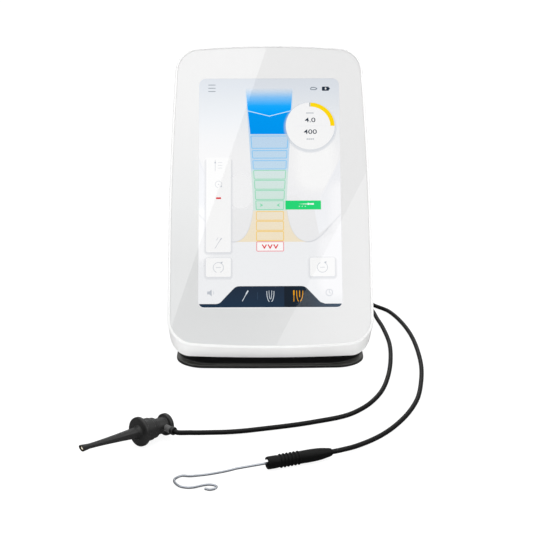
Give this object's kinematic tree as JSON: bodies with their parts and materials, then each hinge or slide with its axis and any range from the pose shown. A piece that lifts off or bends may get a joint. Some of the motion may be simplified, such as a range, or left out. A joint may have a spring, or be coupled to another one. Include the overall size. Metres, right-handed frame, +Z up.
{
  "type": "endodontic motor",
  "caption": "Tilted bench console with a portrait touch display on a black weighted foot, with a measuring lead set ending in a spring file clip and a lip hook in a ribbed holder.",
  "frame": {"origin": "centre of the base footprint, on the table", "axes": "+X to the right for a user facing the display, +Y away from the user, +Z up"},
  "size_m": [0.1442, 0.2408, 0.1402],
  "materials": {
    "cover_glass": "gloss",
    "black_adhesive": "matte",
    "lcd": "gloss",
    "steel_sheet": "satin",
    "screw_steel": "satin",
    "flex": "satin",
    "white_shell": "gloss",
    "seal_rubber": "matte",
    "brass": "satin",
    "circuit_board": "satin",
    "chips": "matte",
    "can": "satin",
    "cell_wrap": "satin",
    "black_plastic": "matte",
    "wire_red": "satin",
    "socket_shell": "satin",
    "insulator": "satin",
    "gold": "polished",
    "button_cap": "gloss",
    "ballast": "satin",
    "cable_black": "satin",
    "lead_plastic": "satin",
    "spring_steel": "satin",
    "hook_steel": "polished"
  },
  "bodies": {
    "console": {"cover_glass": "cover_glass", "glass_adhesive": "black_adhesive", "lcd_panel": "lcd", "backlight_frame": "steel_sheet", "display_bracket": "steel_sheet", "display_screws": "screw_steel", "display_ribbon": "flex", "front_housing": "white_shell", "housing_seal": "seal_rubber", "rear_housing": "white_shell", "housing_screws": "screw_steel", "board_standoffs": "brass", "main_board": "circuit_board", "board_screws": "screw_steel", "board_parts": "chips", "wireless_module": "can", "io_harness": "flex", "battery_cells": "cell_wrap", "battery_holder": "black_plastic", "battery_contacts": "can", "battery_lead": "wire_red", "speaker": "black_plastic", "speaker_gasket": "black_adhesive", "io_panel": "black_plastic", "io_board": "circuit_board", "motor_socket": "socket_shell", "socket_insulator": "insulator", "socket_contacts": "gold", "charge_port": "socket_shell", "charge_tongue": "chips", "measuring_jack": "black_plastic", "power_switch": "chips", "base_foot": "black_plastic", "ballast_plate": "ballast", "base_screws": "screw_steel", "foot_pads": "seal_rubber"},
    "button": {"power_button": "button_cap", "switch_stem": "insulator"},
    "leads": {"plug_grip": "lead_plastic", "plug_pin": "gold", "plug_boot": "cable_black", "main_lead": "cable_black", "lead_splitter": "cable_black", "clip_lead": "cable_black", "hook_lead": "cable_black", "clip_plunger": "lead_plastic", "clip_hook": "gold", "clip_spring": "spring_steel", "hook_holder": "lead_plastic"},
    "clip_shell": {"clip_body": "lead_plastic"},
    "contact": {"holder_contact": "spring_steel"},
    "hook": {"lip_hook": "hook_steel"}
  },
  "joints": [
    {"name": "power_press", "type": "slide", "parent": "console", "child": "button", "axis": [0, -1, 0], "range_m": [0, 0.0006], "stiffness_N_per_m": 400},
    {"name": "plug_pull", "type": "slide", "parent": "console", "child": "leads", "axis": [0, 1, 0], "range_m": [0, 0.016]},
    {"name": "clip_open", "type": "slide", "parent": "leads", "child": "clip_shell", "axis": [0.6948, 0.712, -0.1019], "range_m": [0, 0.0024], "stiffness_N_per_m": 300, "deforming": ["clip_spring"]},
    {"name": "contact_turn", "type": "hinge", "parent": "leads", "child": "contact", "pos_m": [0.02276, -0.13215, 0.00272], "axis": [-0.9379, -0.3469, 0], "continuous": true},
    {"name": "hook_pull", "type": "slide", "parent": "contact", "child": "hook", "axis": [-0.9379, -0.3469, 0], "range_m": [0, 0.01]}
  ]
}
